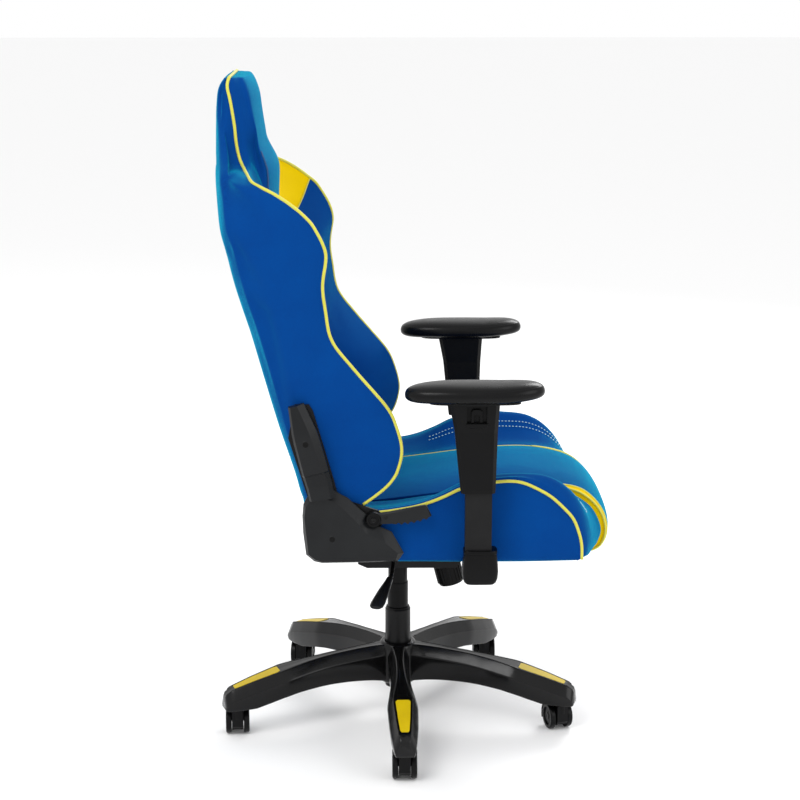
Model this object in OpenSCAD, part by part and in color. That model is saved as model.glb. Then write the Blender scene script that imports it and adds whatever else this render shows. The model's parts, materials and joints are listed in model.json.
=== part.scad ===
// Gaming chair: five-star base on twin-wheel casters, gas lift, rocking tilt mechanism,
// bucket seat, height-adjustable armrests and a reclining back.
// Frame: +X is forward, +Y is the sitter's left, +Z is up; the origin is on the floor
// under the axis of the gas column. Millimetres.

/* [Base] */
// Distance from the column axis to a caster stem
stem_reach = 333; // [300:1:340]
// Angle of the first leg about the column
base_turn = -88.4; // [-110:0.1:-70]
// Radius of the hub that holds the column
hub_r = 39; // [38:0.5:42]

/* [Casters] */
// Diameter of a caster wheel
wheel_d = 50; // [46:1:54]
// Width of one wheel
wheel_w = 11; // [8:0.5:13]
// Distance from the swivel stem back to the wheel axle
trail = 18; // [14:1:20]

/* [Gas lift] */
// Outer radius of the column tube
tube_r = 25; // [23:0.5:27]
// Height of the column tube's upper end
tube_top = 225; // [215:1:232]

/* [Seat] */
// Half width of the seat cushion between its bolsters
cushion_half = 145; // [130:1:155]
// Half width of the seat over its bolsters
seat_half = 262; // [255:1:264]
// Height of the bottom edge of the seat's side panels
skirt_z = 401; // [396:1:404]

/* [Back] */
// Half width of the back cushion between its bolsters
back_half = 150; // [130:1:160]
// Half width of the back over its bolsters
wing_half = 265; // [255:1:266]
// Distance of the recline axis behind the column
hinge_back = 130; // [125:1:135]
// Height of the recline axis
hinge_z = 500; // [495:1:505]

/* [Armrests] */
// Distance from the middle of the chair to the middle of an armrest
arm_y = 300; // [296:1:310]
// Length of an arm pad
pad_len = 250; // [230:1:270]
// Width of an arm pad
pad_w = 95; // [80:1:105]

/* [Hidden] */
LEGS = 5;
RIGHT = -1;
LEFT = 1;
RUN = 0.06;      // radial clearance of a running fit
GAP = 0.5;       // room around a part that is set into foam

BLACK = "#1c1d1f";
CHARCOAL = "#2e3033";
STEEL = "#8b8f94";
BLUE = "#0a4f94";
DEEP_BLUE = "#083a7a";
YELLOW = "#e0bd10";
WOOD = "#b08a5a";

// ---- helpers ----

// A smooth curve through the points p, with n steps between neighbours.
function catmull(a, b, c, d, t) =
    0.5 * (2 * b + (c - a) * t + (2 * a - 5 * b + 4 * c - d) * t * t
        + (3 * b - a - 3 * c + d) * t * t * t);
function curve(p, n = 4) = let (m = len(p) - 1) concat(
    [for (i = [0:m - 1]) for (k = [0:n - 1])
        catmull(p[max(i - 1, 0)], p[i], p[i + 1], p[min(i + 2, m)], k / n)],
    [p[m]]);

// Points of an arc about c, from angle a0 to a1.
function arc(c, r, a0, a1, n = 6) =
    [for (i = [0:n]) c + r * [cos(a0 + (a1 - a0) * i / n), sin(a0 + (a1 - a0) * i / n)]];

// A side outline, with X forward and Z up, made solid from y0 to y1.
module slab(points, y0, y1) {
    translate([0, y1, 0]) rotate([90, 0, 0]) linear_extrude(y1 - y0) polygon(points);
}

// The same outline on the given side of the chair, from y0 to y1 outwards.
module side_slab(points, side, y0, y1) {
    if (side > 0) slab(points, y0, y1);
    else slab(points, -y1, -y0);
}

// A round bar along Y through the point [x, z] on one side, from y0 to y1 outwards.
module side_bar(x, z, r, side, y0, y1) {
    translate([x, side * y0, z]) rotate([-90 * side, 0, 0])
        cylinder(r = r, h = y1 - y0, $fn = 48);
}

// A box from corner a to corner b.
module block(a, b) {
    translate(a) cube(b - a);
}

// A solid through a row of rings that all have the same number of points.
module loft(rings) {
    n = len(rings[0]);
    m = len(rings);
    polyhedron(
        points = [for (ring = rings) for (q = ring) q],
        faces = concat(
            [[for (j = [0:n - 1]) j]],
            [[for (j = [n - 1:-1:0]) (m - 1) * n + j]],
            [for (i = [0:m - 2]) for (j = [0:n - 1]) let (k = (j + 1) % n)
                [i * n + j, (i + 1) * n + j, (i + 1) * n + k]],
            [for (i = [0:m - 2]) for (j = [0:n - 1]) let (k = (j + 1) % n)
                [i * n + j, (i + 1) * n + k, i * n + k]]));
}

function leg_angle(i) = base_turn + 360 / LEGS * i;

// ---- base ----

// Stations along a leg: distance out, top, bottom, and half width of the spine, of the
// shoulder and of the lower edge.
LEG = [
    [26.5, 152, 78, 12, 21, 19], [60, 151, 82, 9, 21.5, 19.5], [110, 147, 85, 7, 19, 18],
    [165, 141, 84, 8, 21, 20], [215, 133, 79, 13, 26, 24], [245, 127, 73, 18, 29, 26],
    [300, 112, 58, 15, 27, 24], [345, 98, 56, 11, 22, 20], [358, 88, 58, 9, 20, 18]];

// A leg's cross-section, wide by grow and lowered by drop at the top.
function leg_ring(s, grow, drop, floor) = let (top = s[1] - drop, shoulder = s[1] - 20)
    [for (q = [[s[5], floor], [s[4], shoulder], [s[3], top],
               [-s[3], top], [-s[4], shoulder], [-s[5], floor]])
        [s[0], q[0] + sign(q[0]) * grow, q[1]]];

module leg() {
    loft([for (s = LEG) leg_ring(s, 0, 0, s[2])]);
}

// The hollow underside of a leg, between the hub and the stem's boss.
module leg_hollow() {
    loft([for (i = [1:6]) leg_ring(LEG[i], -4.5, 5, LEG[i][2] - 2)]);
}

// Top of a leg between its last wide stations.
function leg_top(x) = lookup(x, [for (s = LEG) [s[0], s[1]]]);

// Outline of an insert seen from above, grown by g, at a height above the leg's top.
function insert_ring(x, half, low, high) =
    [[x, half, leg_top(x) + low], [x, half, leg_top(x) + high],
     [x, -half, leg_top(x) + high], [x, -half, leg_top(x) + low]];

module leg_insert(g, low, high) {
    x0 = 249 - g;
    x1 = 339 + g;
    loft([insert_ring(x0, 11 + g, low, high), insert_ring(x0 + 5, 14 + g, low, high),
          insert_ring(300, 11.5 + g, low, high), insert_ring(x1 - 4, 8.5 + g, low, high),
          insert_ring(x1, 6.5 + g, low, high)]);
}

module base_star() {
    color(BLACK) difference() {
        union() {
            translate([0, 0, 72]) cylinder(r = hub_r, h = 81, $fn = 64);
            for (i = [0:LEGS - 1]) rotate(leg_angle(i)) leg();
        }
        translate([0, 0, 60]) cylinder(r = tube_r + 0.03, h = 100, $fn = 64);
        for (i = [0:LEGS - 1]) rotate(leg_angle(i)) {
            leg_hollow();
            leg_insert(0.3, -2, 6);
            translate([stem_reach, 0, 40]) cylinder(r = 5.5 + RUN, h = 46, $fn = 48);
        }
    }
}

module leg_inserts() {
    color(YELLOW) for (i = [0:LEGS - 1]) rotate(leg_angle(i)) leg_insert(0, -1.95, 0.6);
}

// ---- casters ----

axle_z = wheel_d / 2;
web_half = 11;          // half width of the yoke between the wheels
HEADING = [0, 17, 0, -6, 4];

// Moves a caster, drawn with its stem on the Z axis, to its place under leg i.
module at_caster(i) {
    a = leg_angle(i);
    translate([stem_reach * cos(a), stem_reach * sin(a), 0]) rotate(HEADING[i]) children();
}

// A bar or ring about the wheel axle.
module on_axle(x0, x1) {
    translate([x0, trail, axle_z]) rotate([0, 90, 0]) linear_extrude(x1 - x0) children();
}

module caster_yoke(i) {
    color(CHARCOAL) at_caster(i) {
        difference() {
            union() {
                on_axle(-web_half, web_half) circle(r = 20, $fn = 64);
                translate([0, trail, axle_z]) rotate([0, -90, 0])
                    translate([0, 0, -23]) rotate(-15) rotate_extrude(angle = 130, $fn = 64)
                        translate([wheel_d / 2 + 0.8, 0]) square([2.6, 46]);
                block([-web_half, -9, 14], [web_half, trail, axle_z + 27]);
                translate([0, 0, 36]) cylinder(r = 10, h = 18.5, $fn = 48);
            }
            on_axle(-30, 30) circle(r = 3.02, $fn = 48);
            translate([0, 0, 43]) cylinder(r = 5.52, h = 20, $fn = 48);
            translate([-15, -20, 8]) rotate([0, 90, 0]) cylinder(r = 16, h = 30, $fn = 48);
        }
        on_axle(-22, 22) circle(r = 3, $fn = 48);
        translate([0, 0, 43.2]) cylinder(r = 5.5, h = 40, $fn = 48);
    }
}

// One wheel: tread, dished outer face and bore; out is 1 or -1 for the side it is on.
module caster_wheel(i, out) {
    r = wheel_d / 2;
    w = wheel_w;
    color(BLACK) at_caster(i) translate([out * (web_half + 1), trail, axle_z])
        rotate([0, 90 * out, 0]) rotate_extrude($fn = 72)
            polygon(concat([[3 + RUN, 0], [r - 2, 0]], arc([r - 2, 2], 2, -90, 0, 4),
                arc([r - 3, w - 3], 3, 0, 90, 5),
                [[r - 7, w], [r - 8, w - 3], [8, w - 1.5], [7, w - 0.5], [3 + RUN, w - 0.5]]));
}

// ---- gas lift ----

cyl_r = 14;
rod_r = 5;
bush_low = 165;

module gas_tube() {
    color(BLACK) rotate_extrude($fn = 72)
        polygon([[rod_r + 1, 62], [tube_r, 62], [tube_r, tube_top - 3], [tube_r - 2, tube_top],
                 [tube_r - 2.5, tube_top], [tube_r - 2.5, 66], [rod_r + 1, 66]]);
}

module guide_bush() {
    color(CHARCOAL) rotate_extrude($fn = 72)
        polygon([[cyl_r + RUN, bush_low], [tube_r - 2.55, bush_low],
                 [tube_r - 2.55, tube_top], [cyl_r + RUN, tube_top]]);
}

module lower_sleeve() {
    color(BLACK) rotate_extrude($fn = 72)
        polygon([[19.2, tube_top + 0.1], [23, tube_top + 0.1], [23, tube_top + 1.5],
                 [20.4, tube_top + 3], [20.4, 277], [20, 278], [19.2, 278]]);
}

module gas_rod() {
    color(STEEL) {
        translate([0, 0, 57]) cylinder(r = rod_r, h = 110, $fn = 48);
        translate([0, 0, 163]) cylinder(r = 11.9, h = 8, $fn = 48);
        for (z = [59, 66.2]) translate([0, 0, z]) difference() {
            cylinder(r = 12, h = 2, $fn = 48);
            translate([0, 0, -1]) cylinder(r = rod_r + 0.05, h = 4, $fn = 48);
        }
    }
}

module upper_sleeve() {
    color(BLACK) rotate_extrude($fn = 72)
        polygon([[17.9, 271], [19, 271], [19, 331], [18.6, 332], [17.9, 332]]);
}

module gas_cylinder() {
    color(BLACK) difference() {
        union() {
            translate([0, 0, 152]) cylinder(r = cyl_r, h = 190, $fn = 64);
            translate([0, 0, 342]) cylinder(r1 = cyl_r, r2 = 13.2, h = 32, $fn = 64);
            translate([0, 0, 374]) cylinder(r = 4, h = 3.5, $fn = 48);
        }
        translate([0, 0, 150]) cylinder(r = rod_r + RUN, h = 10, $fn = 48);
        translate([0, 0, 156]) cylinder(r = 11.9 + RUN, h = 134, $fn = 48);
    }
}

// ---- tilt mechanism ----

tilt_x = 40;            // rocking axis
tilt_z = 352;
knob_lean = 15;         // the tension bolt leans forward at its foot
bolt_top = [88, 0, 345];

// The housing's side outline, lower at the back so that the seat can rock down.
HOUSING = [[-78, 330], [-60, 322], [112, 322], [124, 336], [124, 372], [112, 384],
           [-26, 384], [-78, 364]];
HOUSING_IN = [[-75, 300], [121, 300], [121, 370], [111, 381], [-25, 381], [-75, 362]];

module tilt_housing() {
    color(CHARCOAL) difference() {
        union() {
            difference() {
                slab(HOUSING, -55, 55);
                slab(HOUSING_IN, -52, 52);
            }
            translate([0, 0, 334]) cylinder(r = 17.2, h = 48, $fn = 64);
            translate([60, -52, 322]) cube([56, 104, 3]);
        }
        translate([0, 0, 330]) cylinder(r = cyl_r + 0.05, h = 12, $fn = 64);
        translate([0, 0, 342]) cylinder(r1 = cyl_r + 0.05, r2 = 13.25, h = 32, $fn = 64);
        translate([0, 0, 373]) cylinder(r = 8, h = 20, $fn = 48);
        translate([tilt_x, -60, tilt_z]) rotate([-90, 0, 0]) cylinder(r = 6.02, h = 120, $fn = 48);
        translate([-8, -60, 350]) rotate([90, 0, 0]) cylinder(r = 5.06, h = 12, center = true, $fn = 48);
        at_knob() translate([0, 0, -60]) cylinder(r = 5.3, h = 60, $fn = 48);
        translate([-8, -44, 350]) rotate([90, 0, 0]) cylinder(r = 5.06, h = 40, center = true, $fn = 48);
    }
}

module tilt_shaft() {
    color(STEEL) translate([tilt_x, -66, tilt_z]) rotate([-90, 0, 0])
        cylinder(r = 6, h = 132, $fn = 48);
}

// The frame of the tension bolt: its head is at the top and its foot leans forward.
module at_knob() {
    translate(bolt_top) rotate([0, -knob_lean, 0]) children();
}

module tension_bolt() {
    color(STEEL) at_knob() {
        translate([0, 0, 5]) cylinder(r = 8.5, h = 6, $fn = 6);
        translate([0, 0, -60]) cylinder(r = 5, h = 65, $fn = 48);
    }
}

// A compression spring about the bolt, between its head and the housing's floor.
module tension_spring() {
    turns = 3.5;
    steps = 20;
    wire = 1.8;
    mean_r = 10.5;
    pitch = 5;
    color(STEEL) at_knob() translate([0, 0, -14.9]) loft([for (i = [0:turns * steps])
        let (a = 360 * i / steps) [for (k = [0:7]) let (b = -45 * k)
            [(mean_r + wire * cos(b)) * cos(a), (mean_r + wire * cos(b)) * sin(a),
             pitch * i / steps + wire * sin(b)]]]);
}

module tension_knob() {
    ribs = 24;
    color(BLACK) at_knob() translate([0, 0, -72]) difference() {
        union() {
            cylinder(r1 = 24, r2 = 26, h = 6, $fn = 64);
            translate([0, 0, 6]) cylinder(r = 26, h = 34, $fn = 64);
            for (i = [0:ribs - 1]) rotate(360 / ribs * i) translate([25, -1.5, 5])
                cube([2.2, 3, 33]);
        }
        translate([0, 0, 9]) cylinder(r = 5.05, h = 40, $fn = 48);
    }
}

// The height lever: a rod out of the housing to the right, then a slanted arm.
lever_bend = [-14, -150, 337];
lever_tip = [-44, -262, 312];

// A round bar between two points.
module rod_between(a, b, r) {
    d = b - a;
    translate(a) rotate([0, acos(d.z / norm(d)), atan2(d.y, d.x)])
        cylinder(r = r, h = norm(d), $fn = 48);
}

module height_lever() {
    color(BLACK) union() {
        translate([-8, -25, 350]) rotate([90, 0, 0]) cylinder(r = 5, h = 50, $fn = 48);
        rod_between([-8, -72, 350], lever_bend, 4);
        translate([-8, -73, 350]) sphere(r = 5.6, $fn = 48);
        translate(lever_bend) sphere(r = 4.8, $fn = 48);
        rod_between(lever_bend, lever_bend + 0.35 * (lever_tip - lever_bend), 4);
    }
}

// The grip pushed onto the rod: a flat paddle, wider towards its end.
module height_grip() {
    d = lever_tip - lever_bend;
    color(CHARCOAL) translate(lever_bend + 0.1 * d)
        rotate([0, acos(d.z / norm(d)), atan2(d.y, d.x)]) difference() {
            loft([for (s = [[0, 6.5, 6.5], [12, 7, 7], [45, 7, 11], [88, 5.5, 14], [100, 5, 13],
                            [105, 3.5, 10]])
                [for (k = [0:15]) let (a = -22.5 * k) [s[1] * cos(a), s[2] * sin(a), s[0]]]]);
            translate([0, 0, -1]) cylinder(r = 4.1, h = 33, $fn = 48);
        }
}

// ---- seat ----

plate_z = 400.5;
frame_z = 404;          // bottom of the seat frame
tube_side = 20;         // square tube of the frame
frame_half = 232;
board_z = frame_z + tube_side + 0.5;
board_top = board_z + 10;

module seat_plate() {
    ear = [[15, plate_z], [24, 345], [32, 339], [48, 339], [56, 345], [66, plate_z]];
    color(STEEL) difference() {
        union() {
            block([-88, -95, plate_z], [150, 95, plate_z + 3]);
            for (s = [RIGHT, LEFT]) side_slab(ear, s, 56, 60);
        }
        for (s = [RIGHT, LEFT]) side_bar(tilt_x, tilt_z, 6 + RUN, s, 50, 70);
        for (x = [-70, 130]) for (y = [-80, 80])
            translate([x, y, plate_z - 5]) cylinder(r = 4.2, h = 20, $fn = 48);
    }
}

module seat_frame() {
    t = tube_side;
    color(BLACK) difference() {
        union() {
            for (s = [RIGHT, LEFT]) {
                block([-150, s > 0 ? frame_half - t : -frame_half, frame_z],
                      [320, s > 0 ? frame_half : t - frame_half, frame_z + t]);
                block([-150, s > 0 ? frame_half : -267, frame_z + 2],
                      [-84, s > 0 ? 267 : -frame_half, frame_z + t - 2]);
            }
            for (x = [-150, -80, 120, 300])
                block([x, t - frame_half, frame_z], [x + t, frame_half - t, frame_z + t]);
        }
        for (x = [-70, 130]) for (y = [-80, 80])
            translate([x, y, frame_z - 5]) cylinder(r = 4.2, h = 40, $fn = 48);
        for (s = [RIGHT, LEFT]) for (y = [175, 198])
            translate([142 - 12, s * y, frame_z - 5]) cylinder(r = 4.2, h = 40, $fn = 48);
    }
}

module seat_board() {
    color(WOOD) block([-150, -228, board_z], [318, 228, board_top]);
}

// Side outline of the middle cushion: low at the back, a rounded nose in front.
function cushion_outline() = concat(
    [[-76, board_top + 0.4], [-76, 486]],
    curve([[-66, 498], [60, 506], [180, 520], [270, 519], [340, 505], [378, 482],
           [398, 450], [406, 420], [400, 385], [382, 362], [352, 366]], 4),
    [[330, 395], [324, board_top + 0.4]]);

module seat_cushion() {
    color(BLUE) slab(cushion_outline(), -cushion_half, cushion_half);
}

// Side outline of a bolster up to its crest.
function bolster_outline() = concat(
    [[-76, skirt_z], [-76, 488]],
    curve([[-70, 494], [0, 503], [60, 518], [115, 543], [180, 557], [245, 553], [290, 536],
           [322, 500], [338, 455], [341, 420], [336, 404]], 3),
    [[325, skirt_z]]);

// Cross-section of a bolster: it slopes up from the cushion to a crest near the outside.
module bolster_section(side) {
    h = seat_half;
    translate([-80, 0, 0]) rotate([90, 0, 90]) linear_extrude(440) polygon(
        [for (q = concat([[cushion_half + 0.3, board_top + 0.4], [cushion_half + 0.3, 512]],
            arc([h - 22, 538], 22, 130, 0, 8), [[h, 420], [h - 4, skirt_z],
            [frame_half + 1.5, skirt_z], [frame_half + 1.5, board_top + 0.4]]))
            [side * q[0], q[1]]]);
}

module seat_bolsters() {
    color(DEEP_BLUE) for (s = [RIGHT, LEFT]) difference() {
        intersection() {
            bolster_section(s);
            side_slab(bolster_outline(), s, cushion_half, seat_half + 5);
        }
        // notch over the armrest's flat bar
        block([arm_x - 26.5, min(s * 200, s * 300), skirt_z - 5],
              [arm_x + 26.5, max(s * 200, s * 300), bar_z + 8.5]);
    }
}

// ---- armrests ----

arm_x = 142;            // middle of the upright post
post_half_x = 24;
post_half_y = 13;
post_top = 632;
boot_top = 438;
sleeve_low = 546;
sleeve_top = 711;
bar_z = frame_z - 9;    // underside of the flat bar below the frame

module arm_bracket(side) {
    color(CHARCOAL) difference() {
        union() {
            block([arm_x - 26, min(side * 160, side * (arm_y + post_half_y)), bar_z],
                  [arm_x + 26, max(side * 160, side * (arm_y + post_half_y)), bar_z + 8]);
            block([arm_x - post_half_x, side * arm_y - post_half_y, bar_z],
                  [arm_x + post_half_x, side * arm_y + post_half_y, post_top]);
        }
        for (y = [175, 198])
            translate([arm_x - 12, side * y, bar_z - 5]) cylinder(r = 4.2, h = 30, $fn = 48);
        block([arm_x - post_half_x + 5, side * arm_y - post_half_y + 5, bar_z + 30],
              [arm_x + post_half_x - 5, side * arm_y + post_half_y - 5, post_top + 5]);
    }
}

// A rounded rectangle of half sizes hx and hy with corners of radius r.
module round_rect(hx, hy, r) {
    hull() for (x = [r - hx, hx - r]) for (y = [r - hy, hy - r])
        translate([x, y]) circle(r = r, $fn = 24);
}

module arm_boot(side) {
    color(BLACK) translate([arm_x + 3, side * arm_y, 0]) difference() {
        hull() {
            translate([0, 0, boot_top - 3]) linear_extrude(3) round_rect(29, 18, 8);
            translate([1, 0, 392]) linear_extrude(8) round_rect(33, 21, 9);
            translate([1, 0, 373]) linear_extrude(2) round_rect(26, 15, 7);
        }
        block([-3 - post_half_x - 0.3, -post_half_y - 0.3, bar_z - 0.3],
              [-3 + post_half_x + 0.3, post_half_y + 0.3, boot_top + 5]);
        block([-3 - 26.3, side > 0 ? -40 : 0, bar_z - 0.3], [-3 + 26.3, side > 0 ? 0 : 40, bar_z + 8.3]);
        block([-3 - 26.3, -post_half_y - 0.3, bar_z - 0.3],
              [-3 + 26.3, post_half_y + 0.3, bar_z + 8.3]);
    }
}

// Ring of the sleeve at height z, wider towards the arm pad.
function sleeve_ring(z, x0, x1, hy, c) =
    [[x0 + c, -hy, z], [x0, c - hy, z], [x0, hy - c, z], [x0 + c, hy, z],
     [x1 - c, hy, z], [x1, hy - c, z], [x1, c - hy, z], [x1 - c, -hy, z]];

module arm_sleeve(side) {
    color(BLACK) difference() {
        translate([0, side * arm_y, 0]) loft([sleeve_ring(sleeve_low, 110, 171, 18, 5),
            sleeve_ring(sleeve_low + 6, 109, 172, 19, 6), sleeve_ring(660, 98, 175, 21, 7),
            sleeve_ring(sleeve_top, 88, 178, 25, 7)]);
        block([arm_x - post_half_x - 0.4, side * arm_y - post_half_y - 0.4, sleeve_low - 5],
              [arm_x + post_half_x + 0.4, side * arm_y + post_half_y + 0.4, sleeve_top - 6]);
        block([arm_x - 23, min(side * (arm_y + 15), side * (arm_y + 30)), 672],
              [arm_x + 13, max(side * (arm_y + 15), side * (arm_y + 30)), 708]);
    }
}

// The trigger in the sleeve's outer face, which is drawn up with a fingertip.
module arm_button(side) {
    y0 = arm_y + 15.4;
    color(CHARCOAL) difference() {
        side_slab([[arm_x - 15, 681], [arm_x - 13, 678], [arm_x + 3, 678], [arm_x + 5, 681],
                   [arm_x + 5, 702], [arm_x - 15, 702]], side, y0, arm_y + 21.5);
        side_bar(arm_x - 5, 676, 6, side, arm_y + 18, arm_y + 30);
    }
}

// Layers of an arm pad: height, and how much of its length and width each one keeps.
PAD_LAYERS = [[714, 0.9, 0.78], [720, 0.98, 0.95], [728, 1, 1], [741, 0.93, 0.86], [747.5, 0.7, 0.5]];

module arm_pad(side) {
    color(BLACK) translate([134, side * arm_y, 0]) union() {
        hull() for (s = PAD_LAYERS) translate([0, 0, s[0]]) linear_extrude(0.5)
            round_rect(s[1] * pad_len / 2, s[2] * pad_w / 2, s[2] * pad_w / 2 - 4);
        translate([0, 0, 711.2]) linear_extrude(6) square([150, 64], center = true);
    }
}

// ---- recliner ----

hinge = [-hinge_back, hinge_z];
lever_pivot = [-47, 489];

// The fixed plate that carries the recline axis and the lever.
module hinge_plate(side) {
    outline = concat([[-150, 406], [-84, 406], [-30, 478]], arc(lever_pivot, 16, -30, 90, 4),
        [[-90, 520]], arc(hinge, 34, 40, 190, 10), [[-160, 440]]);
    color(STEEL) difference() {
        side_slab(outline, side, 268, 273);
        side_bar(hinge.x, hinge.y, 8.03, side, 260, 280);
        side_bar(lever_pivot.x, lever_pivot.y, 4 + RUN, side, 260, 280);
        for (x = [-140, -100]) side_bar(x, 414, 4.1, side, 260, 280);
    }
}

module pivot_pins() {
    color(STEEL) for (s = [RIGHT, LEFT]) side_bar(hinge.x, hinge.y, 8, s, 263, 279);
}

// Outline of the fixed cover: a round head over the recline axis and a foot that runs
// forward under a scooped shoulder.
function cover_outline() = concat(
    arc(hinge, 46, 60, 175, 10),
    [[-176, 470], [-171, 424], [-158, 409], [-140, 405], [-4, 409], [8, 424], [-14, 465],
     [-34, 474]],
    curve([[-52, 484], [-71, 505], [-88, 525], [-107, 540]], 4));

module hinge_cover(side) {
    color(CHARCOAL) difference() {
        side_slab(cover_outline(), side, 279.4, 292);
        difference() {
            side_slab(cover_outline(), side, 279, 289);
            side_slab([[-200, 400], [-150, 400], [-166, 430], [-171, 470], [-200, 470]], side, 270, 290);
            side_slab([[-200, 380], [50, 380], [50, 412], [-200, 410]], side, 270, 290);
            side_slab([[-6, 380], [40, 380], [40, 480], [-30, 480]], side, 270, 290);
        }
        side_bar(-122, 454, 3.5, side, 280, 300);
        side_bar(lever_pivot.x, lever_pivot.y, 15, side, 270, 300);
    }
}

// The link between both hinges, on the recline axis, that turns them together.
module sync_rod() {
    color(STEEL) translate([hinge.x, -262, hinge.y]) rotate([-90, 0, 0])
        cylinder(r = 5, h = 524, $fn = 48);
}

module recline_lever() {
    tip = concat([[-50, 480], [-20, 480], [30, 484]],
        [for (i = [0:12]) [32 + i * 1.9, 487 + i * 0.7 + 1.6 * sin(i * 90)]],
        [[58, 499], [48, 517], [-20, 503], [-50, 498]]);
    color(CHARCOAL) difference() {
        union() {
            side_bar(lever_pivot.x, lever_pivot.y, 14, RIGHT, 273.6, 290);
            side_slab(tip, RIGHT, 279, 288);
            side_bar(lever_pivot.x, lever_pivot.y, 4, RIGHT, 262.5, 276);
        }
        side_bar(-25, 494, 3, RIGHT, 286, 300);
    }
}

// Fixings that stay with the seat: frame bolts, arm bolts and the covers' screws.
module seat_fasteners() {
    color(STEEL) {
        for (x = [-70, 130]) for (y = [-80, 80]) translate([x, y, plate_z - 5]) {
            cylinder(r = 7, h = 4.9, $fn = 6);
            cylinder(r = 4, h = 28, $fn = 48);
        }
        for (s = [RIGHT, LEFT]) {
            for (y = [175, 198]) translate([arm_x - 12, s * y, bar_z - 5]) {
                cylinder(r = 7, h = 4.9, $fn = 6);
                cylinder(r = 4, h = 32, $fn = 48);
            }
            side_bar(-122, 454, 3.4, s, 274, 290);
            for (x = [-140, -100]) {
                side_bar(x, 414, 4, s, 268, 276);
                side_bar(x, 414, 6.5, s, 273.1, 277);
            }
        }
    }
}

// ---- back ----

// Rear line of the back, from its foot to its top.
REAR = [[-176, 492], [-184, 560], [-214, 660], [-258, 818], [-283, 900], [-304, 985],
        [-318, 1060], [-325, 1130], [-330, 1200], [-326, 1262]];

// Front line of a side wing: hip bulge, waist, shoulder and the run up to the neck.
WING = [[-262, 1110], [-206, 1068], [-170, 1040], [-146, 1012], [-135, 980], [-133, 925],
        [-133, 870], [-121, 818], [-88, 770], [-54, 733], [-20, 690], [-2, 652], [4, 618],
        [0, 588], [-12, 558], [-40, 528], [-72, 506]];

// Front line of the middle cushion with its headrest.
MIDDLE = [[-306, 1277], [-286, 1275], [-268, 1256], [-262, 1215], [-258, 1160], [-262, 1100],
          [-256, 1020], [-243, 930], [-218, 840], [-186, 750], [-155, 670], [-132, 600],
          [-118, 550], [-104, 512]];

function back_outline(front) = concat([[-165, 478]], curve(REAR, 3), curve(front, 3), [[-88, 479]]);

// Centre line of the back frame's side rails, in the chair's side view.
RAIL = [[-160, 560], [-196, 660], [-240, 818], [-264, 900], [-285, 985], [-293, 1040]];
rail_in = 186;
rail_out = 208;

// The rails, grown by g on every side.
module rails(g) {
    front = [for (q = RAIL) q + [10 + g, 0]];
    rear = [for (i = [len(RAIL) - 1:-1:0]) RAIL[i] - [10 + g, 0]];
    ends = [0, g];
    outline = concat([front[0] - ends], front, [front[len(front) - 1] + ends],
                     [rear[0] + ends], rear, [rear[len(rear) - 1] - ends]);
    for (s = [RIGHT, LEFT]) side_slab(g > 0 ? outline : concat(front, rear), s, rail_in - g, rail_out + g);
}

// Cross bars of the back frame, grown by g.
module cross_bars(g) {
    for (q = [RAIL[0] + [-2, 14], RAIL[2], RAIL[5]])
        block([q.x - 8 - g, -rail_in - 1, q.y - 9 - g], [q.x + 8 + g, rail_in + 1, q.y + 9 + g]);
}

// Places of the bolts that hold the brackets to the rails.
BRACKET_BOLTS = [[-187, 634], [-174, 595]];

module back_frame() {
    color(BLACK) difference() {
        union() {
            rails(0);
            cross_bars(0);
        }
        for (s = [RIGHT, LEFT]) for (q = BRACKET_BOLTS) side_bar(q.x, q.y, 3.05, s, 190, 220);
    }
}

module back_cushion() {
    color(BLUE) difference() {
        slab(back_outline(MIDDLE), -back_half, back_half);
        cross_bars(GAP);
        translate([hinge.x, -300, hinge.y]) rotate([-90, 0, 0]) cylinder(r = 9, h = 600, $fn = 48);
    }
}

// Outline of the wings seen from the front: full width, narrowing towards the neck.
module wing_front(side) {
    translate([-400, 0, 0]) rotate([90, 0, 90]) linear_extrude(460) polygon(
        [for (q = concat([[back_half + 0.3, 470], [wing_half - 6, 470], [wing_half, 500]],
            [[wing_half, 980]], arc([wing_half - 70, 1010], 70, 0, 75, 6), [[back_half + 0.3, 1106]]))
            [side * q[0], q[1]]]);
}

module back_bolsters() {
    color(DEEP_BLUE) difference() {
        for (s = [RIGHT, LEFT]) intersection() {
            side_slab(back_outline(WING), s, back_half + 0.3, wing_half);
            wing_front(s);
        }
        rails(GAP);
        cross_bars(GAP);
        translate([hinge.x, -300, hinge.y]) rotate([-90, 0, 0]) cylinder(r = 9, h = 600, $fn = 48);
        for (s = [RIGHT, LEFT]) for (q = BRACKET_BOLTS) side_bar(q.x, q.y, 4, s, 200, 290);
    }
}

module back_brackets() {
    color(STEEL) for (s = [RIGHT, LEFT]) difference() {
        side_slab(concat(arc(hinge, 26, 200, 380, 10), [[-118, 560], [-155, 690]],
            [[-162, 702], [-188, 702], [-200, 640]]), s, 273.6, 278.6);
        side_bar(hinge.x, hinge.y, 8 + RUN, s, 260, 290);
        for (q = BRACKET_BOLTS) side_bar(q.x, q.y, 3.1, s, 260, 290);
    }
}

// Outline of the cover over a bracket, above the fixed cover's round head.
COVER_ARM = [[-160, 526], [-120, 536], [-126, 584], [-146, 651], [-171, 706], [-199, 700],
             [-190, 632], [-174, 571]];

module recliner_cover(side) {
    upper = [[-171, 552], [-124, 552], [-126, 584], [-146, 651], [-171, 706], [-199, 700],
             [-190, 632], [-174, 571]];
    color(CHARCOAL) difference() {
        union() {
            side_slab(COVER_ARM, side, 292.6, 300);
            side_slab(upper, side, 279.2, 300);
            side_slab([for (q = upper) [-162, 630] + 0.8 * (q - [-162, 630])], side, 299, 303);
        }
        side_bar(-168, 634, 4, side, 296, 310);
    }
}

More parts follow.
